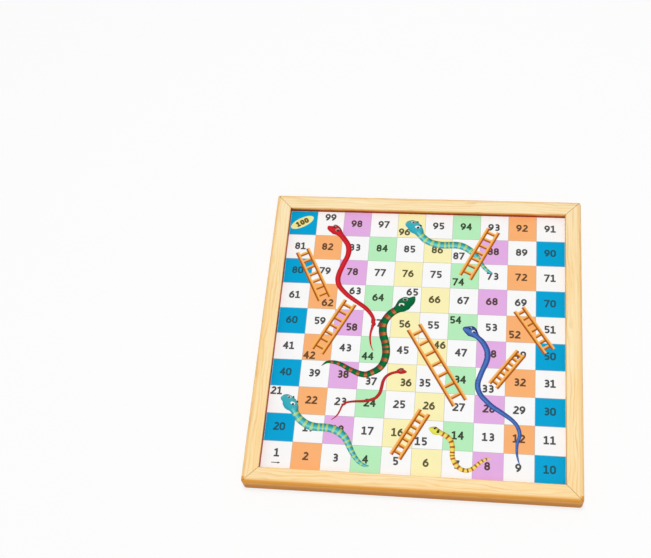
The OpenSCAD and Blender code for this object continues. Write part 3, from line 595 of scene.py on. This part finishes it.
def along(route, t):
    i = min(math.floor(t), len(route) - 2)
    u = t - i
    a, b, c, d = (Vector(route[max(0, min(len(route) - 1, k))]) for k in range(i - 1, i + 3))
    return (2 * b + (c - a) * u + (2 * a - 5 * b + 4 * c - d) * u * u
            + (3 * b - a - 3 * c + d) * u * u * u) / 2


def station(route, t):  # middle of the body at row t and the way to its left edge
    ahead = along(route, min(len(route) - 1, t + steps["look"])) \
        - along(route, max(0, t - steps["look"]))
    spot = along(route, t)
    left = Vector((-ahead.y, ahead.x)).normalized()
    return Vector((spot.x, spot.y)), left * spot.z / 2


def body(route, first, last, count, z):
    return printStrip([station(route, first + (last - first) * k / count)
                       for k in range(count + 1)], z, layer["ink"], steps["across"])


def acrossTone(f, stops, scale=420, blur=0.12):  # from the right edge to the left one
    grain = f.noise(f.at(), scale)
    return f.ramp(f.onStrip()[1] + (grain - 0.5) * blur, *[(at, rgb(*c)) for at, c in stops])


snakeStops = {
    "longRed": ((0.0, (174, 30, 38)), (0.2, (200, 38, 46)), (0.35, (214, 40, 50)),
                (0.5, (223, 40, 53)), (0.65, (206, 33, 43)), (0.8, (190, 34, 42)),
                (1.0, (164, 26, 34))),
    "smallRed": ((0.0, (172, 46, 40)), (0.50, (196, 44, 44)), (1.0, (168, 44, 38))),
    "tealHead": ((0.0, (44, 158, 178)), (0.25, (56, 179, 196)), (0.5, (64, 178, 192)),
                 (0.75, (78, 175, 187)), (1.0, (74, 158, 160))),
    "teal": ((0.0, (52, 150, 160)), (0.2, (84, 176, 180)), (0.35, (126, 220, 226)),
             (0.5, (92, 196, 200)), (0.65, (64, 178, 178)), (0.8, (46, 150, 148)),
             (1.0, (34, 124, 124))),
    "greenHead": ((0.0, (24, 96, 60)), (0.3, (18, 112, 65)), (0.5, (6, 107, 59)),
                  (0.8, (4, 102, 58)), (1.0, (0, 88, 50))),
    "green": ((0.0, (8, 70, 48)), (0.2, (12, 88, 56)), (0.5, (4, 113, 54)),
              (0.65, (14, 121, 59)), (0.8, (8, 100, 48)), (1.0, (0, 80, 40))),
    "blue": ((0.0, (46, 72, 142)), (0.2, (70, 98, 166)), (0.35, (82, 130, 202)),
             (0.5, (78, 126, 200)), (0.65, (68, 102, 180)), (0.8, (62, 82, 154)),
             (1.0, (44, 62, 132))),
    "yellowHead": ((0.0, (214, 210, 82)), (0.2, (228, 228, 88)), (0.5, (238, 236, 92)),
                   (0.7, (212, 204, 84)), (1.0, (180, 172, 82))),
    "yellow": ((0.0, (236, 206, 106)), (0.35, (255, 229, 108)), (0.5, (254, 226, 100)),
               (0.65, (242, 218, 90)), (0.8, (214, 200, 86)), (1.0, (186, 176, 76)))}
# name of the piece, node, slot, row where the neck begins and tones of head and body
snakeLooks = {
    "longRed": ("snake_long_red", "ink_red", 5, "longRed", "longRed"),
    "upperTeal": ("snake_upper_teal", "ink_teal", 4.5, "tealHead", "teal"),
    "green": ("snake_green", "ink_fir", 5, "greenHead", "green"),
    "blue": ("snake_blue", "ink_royal", 5, "blue", "blue"),
    "smallRed": ("snake_small_red", "ink_red", 5, "smallRed", "smallRed"),
    "lowerTeal": ("snake_lower_teal", "ink_teal", 4.5, "tealHead", "teal"),
    "yellow": ("snake_yellow", "ink_sun", 4.5, "yellowHead", "yellow")}
flecks = {"on": "blue", "scale": 900, "share": 0.35, "tone": (40, 60, 128)}


def snakeFinish(name, rows, neck, head, trunk):
    f = printFinish(name + "Print")
    tone = acrossTone(f, snakeStops[trunk])
    if head != trunk:
        tone = f.mix(f.onStrip()[0].step((neck - 0.8) / rows, (neck + 0.3) / rows),
                     acrossTone(f, snakeStops[head]), tone)
    if name == flecks["on"]:
        spots = f.noise(f.at(), flecks["scale"], 0.0)
        tone = f.mix(spots.step(0.58, 0.68) * flecks["share"], tone, rgb(*flecks["tone"]))
    inkSurface(f, tone)
    return f


for name, route in snakeRoutes.items():
    last = len(route) - 1
    snake = body(route, 0, last, last * steps["aRow"], layer["snakes"])
    snake.name = snake.data.name = name + "Snake"
    node, slot, neck, head, trunk = snakeLooks[name]
    fit(snake, snakeFinish(name, last, neck, head, trunk), slot, node)
print("snakes are printed")

# bands across them: the row in the middle of each
bandRows = {
    "upperTeal": (5.2, 6.15, 7.3, 8.35, 9.35, 9.95, 10.6, 11.7, 12.9, 14.05, 14.8, 16.1, 16.95,
                  17.9, 18.7),
    "lowerTeal": (5.3, 6.15, 7.1, 8.15, 9.2, 9.85, 10.45, 11.6, 12.7, 13.9, 14.9, 15.85, 16.85,
                  17.75, 18.6, 19.5),
    "green": (5.55, 6.75, 8.25, 9.75, 11.05, 11.95, 12.75, 14.1, 15.55, 17.05, 18.1, 19.35,
              20.55, 21.6, 22.7, 23.8),
    "yellow": (5.15, 6.15, 7.25, 8.3, 9.4, 10.05, 10.65, 11.65, 12.55, 13.5, 14.25, 15.05,
               15.85, 16.55, 17.3, 18.1)}
bandShare = 0.46  # of the way from one band to the next
bandStops = {
    "teal": ((0.0, (140, 182, 122)), (0.2, (180, 220, 150)), (0.35, (190, 228, 154)),
             (0.5, (182, 214, 136)), (0.75, (168, 198, 108)), (1.0, (136, 164, 92))),
    "green": ((0.0, (134, 50, 42)), (0.3, (156, 66, 44)), (0.5, (186, 98, 54)),
              (0.7, (202, 132, 78)), (0.85, (154, 84, 46)), (1.0, (130, 72, 42))),
    "yellow": ((0.0, (178, 104, 50)), (0.35, (194, 108, 46)), (0.65, (180, 92, 34)),
               (1.0, (154, 92, 42)))}
# the snakes that have them, node and slot
bandLooks = {"teal": (("upperTeal", "lowerTeal"), "bands_teal", "ink_lime"),
             "green": (("green",), "bands_green", "ink_brick"),
             "yellow": (("yellow",), "bands_yellow", "ink_maroon")}


def bandFinish(key):  # the ends of a band melt into the body
    f = printFinish(key + "BandPrint")
    grain = f.noise(f.at(), 900)
    fromEnd = 0.5 - abs(f.onStrip()[0] - 0.5) + (grain - 0.5) * 0.22
    inkSurface(f, f.mix(fromEnd.step(0.02, 0.16), acrossTone(f, snakeStops[key]),
                        acrossTone(f, bandStops[key])))
    return f


for key, (names, node, slot) in bandLooks.items():
    made = []
    for name in names:
        rows = bandRows[name]
        for k, row in enumerate(rows):
            before, after = max(0, k - 1), min(len(rows) - 1, k + 1)
            reach = bandShare * (rows[after] - rows[before]) / (after - before) / 2
            made.append(body(snakeRoutes[name], row - reach, row + reach, 2, layer["bands"]))
    fit(joinPieces(made, key + "Bands"), bandFinish(key), slot, node)
print("bands are printed")

eyeDisc = {"points": 28, "inset": 0.12}
eyeTones = {"rose": (198, 142, 134), "blush": (204, 146, 138), "clay": (196, 150, 140),
            "mist": (206, 214, 226), "fog": (208, 218, 220), "chalk": (250, 250, 250),
            "sage": (156, 180, 160), "cream": (246, 246, 240), "lilac": (170, 170, 208),
            "frost": (240, 240, 248), "wine": (95, 45, 45), "brown": (60, 44, 10),
            "umber": (36, 28, 14), "pitch": (62, 44, 40), "navy": (20, 20, 60),
            "slate": (40, 50, 45)}
# eyes as ovals: place, length, width, turn in degrees and tone
eyeWhites = [
    (1.665, 9.385, 0.13, 0.10, -30, "rose"), (1.79, 9.25, 0.17, 0.13, 30, "blush"),
    (4.54, 9.66, 0.14, 0.09, -15, "mist"), (4.72, 9.455, 0.19, 0.115, -10, "chalk"),
    (4.45, 6.49, 0.19, 0.13, 0, "sage"), (4.325, 6.275, 0.21, 0.12, 5, "cream"),
    (6.775, 5.48, 0.12, 0.09, 30, "lilac"), (6.885, 5.345, 0.13, 0.09, -10, "frost"),
    (4.46, 3.765, 0.09, 0.06, 0, "clay"), (0.72, 2.60, 0.14, 0.09, -15, "fog"),
    (0.855, 2.375, 0.17, 0.105, -20, "chalk")]
eyePupils = [
    (1.66, 9.365, 0.10, 0.07, -30, "wine"), (1.80, 9.215, 0.11, 0.08, 0, "wine"),
    (4.555, 9.645, 0.08, 0.06, 0, "slate"), (4.735, 9.435, 0.105, 0.08, 10, "slate"),
    (4.445, 6.475, 0.11, 0.08, -10, "pitch"), (4.335, 6.245, 0.12, 0.085, -15, "pitch"),
    (6.755, 5.46, 0.065, 0.085, 0, "navy"), (6.90, 5.32, 0.08, 0.065, 0, "navy"),
    (4.465, 3.765, 0.05, 0.04, 0, "wine"), (0.71, 2.59, 0.075, 0.06, 0, "slate"),
    (0.865, 2.345, 0.085, 0.07, 0, "slate"), (5.735, 1.745, 0.12, 0.06, 35, "brown"),
    (5.83, 1.615, 0.105, 0.07, 10, "umber")]
lashes = [
    (1.70, 9.44, 0.13, 0.035, -10, "wine"), (1.875, 9.29, 0.12, 0.05, -60, "wine"),
    (4.54, 9.715, 0.11, 0.025, 5, "slate"), (4.71, 9.675, 0.09, 0.05, -15, "slate"),
    (4.835, 9.525, 0.10, 0.055, -40, "slate"), (4.45, 6.57, 0.13, 0.025, 0, "pitch"),
    (4.20, 6.28, 0.08, 0.055, 20, "pitch"), (6.84, 5.51, 0.09, 0.045, -45, "navy"),
    (6.965, 5.375, 0.075, 0.06, -30, "navy"), (4.455, 3.83, 0.08, 0.03, 25, "wine"),
    (4.53, 3.83, 0.06, 0.035, -35, "wine"), (0.86, 2.605, 0.08, 0.05, -75, "slate"),
    (1.01, 2.44, 0.08, 0.05, -50, "slate"), (5.85, 1.68, 0.11, 0.04, 15, "brown")]


def printDisc(x, y, length, width, turn, tone, z):
    clearSelection()
    bpy.ops.mesh.primitive_circle_add(vertices=eyeDisc["points"], radius=0.5, fill_type="NGON")
    disc = bpy.context.object
    disc.data.transform(Matrix.Translation(onField(x, y, z))
                        @ Matrix.Rotation(math.radians(turn), 4, "Z")
                        @ Matrix.Diagonal((length * square, width * square, 1, 1)))
    startEdit()
    bpy.ops.mesh.inset(thickness=width * square * eyeDisc["inset"])
    thicken(layer["ink"])
    finishEdit()
    spots = disc.data.attributes.new("eyeTone", "FLOAT_VECTOR", "POINT")
    for spot in spots.data:
        spot.vector = rgb(*eyeTones[tone])[:3]
    return disc


def eyeFinish(name):
    f = printFinish(name)
    inkSurface(f, f.stored("eyeTone"))
    return f


whites = [printDisc(*eye, layer["bands"]) for eye in eyeWhites]
fit(joinPieces(whites, "eyeWhites"), eyeFinish("eyeWhitePrint"), "paper_white", "eye_whites")
darks = [printDisc(*eye, layer["pupils"]) for eye in eyePupils + lashes]
fit(joinPieces(darks, "eyePupilsAndLashes"), eyeFinish("eyeDarkPrint"), "ink_dark", "eye_pupils")
print("eyes are printed")

# ladders: foot and head of the left side rail, way from its middle to that of the right one
ladders = [((1.333, 4.434), (2.332, 6.381), 0.401),
           ((1.39, 6.31), (0.391, 8.238), 0.406),
           ((6.344, 7.538), (7.291, 9.484), 0.401),
           ((6.312, 2.555), (4.617, 5.301), 0.456),
           ((4.327, 0.752), (5.206, 2.378), 0.331),
           ((7.487, 3.439), (8.401, 4.692), 0.291),
           ((9.317, 4.608), (8.277, 6.168), 0.331)]
ladder = {"rail": 3.5 * mm / square, "rung": 3.3 * mm / square, "rungs": 7, "cuts": 4,
          "first": 0.09, "last": 0.92, "lit": 0.2 * mm / square,
          "stops": ((0.0, (158, 78, 14)), (0.34, (184, 96, 18)), (0.54, (250, 172, 82)),
                    (1.0, (255, 198, 114)))}  # from the shaded edge to the lit one


def ladderFinish():
    f = printFinish("ladderPrint")
    inkSurface(f, acrossTone(f, ladder["stops"], 500, 0.15))
    return f


def ladderStrips(foot, head, apart):
    foot, head = Vector(foot), Vector(head)
    up = (head - foot).normalized()
    left = Vector((-up.y, up.x))
    light = left if up.x > 0 else -left  # the lit side faces up the field
    made = []
    for shift in (0, -apart):
        spots = [spot + left * shift + light * ladder["lit"]
                 for spot in (foot, (foot + head) / 2, head)]
        made.append(printStrip([(spot, light * ladder["rail"] / 2) for spot in spots],
                               layer["ladders"], layer["ink"] * 2, ladder["cuts"]))
    for k in range(ladder["rungs"]):
        share = ladder["first"] + (ladder["last"] - ladder["first"]) * k / (ladder["rungs"] - 1)
        end = foot + (head - foot) * share + up * ladder["lit"]
        spots = [end - left * apart, end - left * apart / 2, end]
        made.append(printStrip([(spot, up * ladder["rung"] / 2) for spot in spots],
                               layer["ladders"], layer["ink"], ladder["cuts"]))
    return made


strips = [strip for row in ladders for strip in ladderStrips(*row)]
fit(joinPieces(strips, "ladderRailsAndRungs"), ladderFinish(), "ink_amber", "ladders",
    "ladder_shading")
print("ladders are printed")

# the oval behind the last number
oval = {"middle": (0.445, 9.525), "length": 0.915, "width": 0.38, "turn": math.radians(31),
        "points": 72, "rings": (0.05, 0.07, 0.10, 0.12),
        "stops": ((0.0, (244, 216, 118)), (0.5, (247, 226, 128)), (0.75, (248, 241, 150)),
                  (1.0, (244, 246, 178)))}  # from the middle to the rim


def ovalFinish():
    f = printFinish("finishOval")
    inkSurface(f, f.ramp(f.stored("fromMiddle", "Fac"),
                         *[(at, rgb(*tone)) for at, tone in oval["stops"]]))
    return f


clearSelection()
bpy.ops.mesh.primitive_circle_add(vertices=oval["points"], radius=0.5, fill_type="NGON")
finishOval = startPiece("finishOvalPrint")
startEdit()
for ringWidth in oval["rings"]:
    bpy.ops.mesh.inset(thickness=ringWidth)
bpy.ops.mesh.poke()
finishEdit()
far = finishOval.data.attributes.new("fromMiddle", "FLOAT", "POINT")
for vertex in finishOval.data.vertices:
    far.data[vertex.index].value = vertex.co.length * 2
finishOval.data.transform(
    Matrix.Translation(onField(*oval["middle"], layer["oval"]))
    @ Matrix.Rotation(oval["turn"], 4, "Z")
    @ Matrix.Diagonal((oval["length"] * square, oval["width"] * square, 1, 1)))
startEdit()
thicken(layer["ink"])
finishEdit()
fit(finishOval, ovalFinish(), "ink_lemon", "finish_oval")
print("oval is printed")
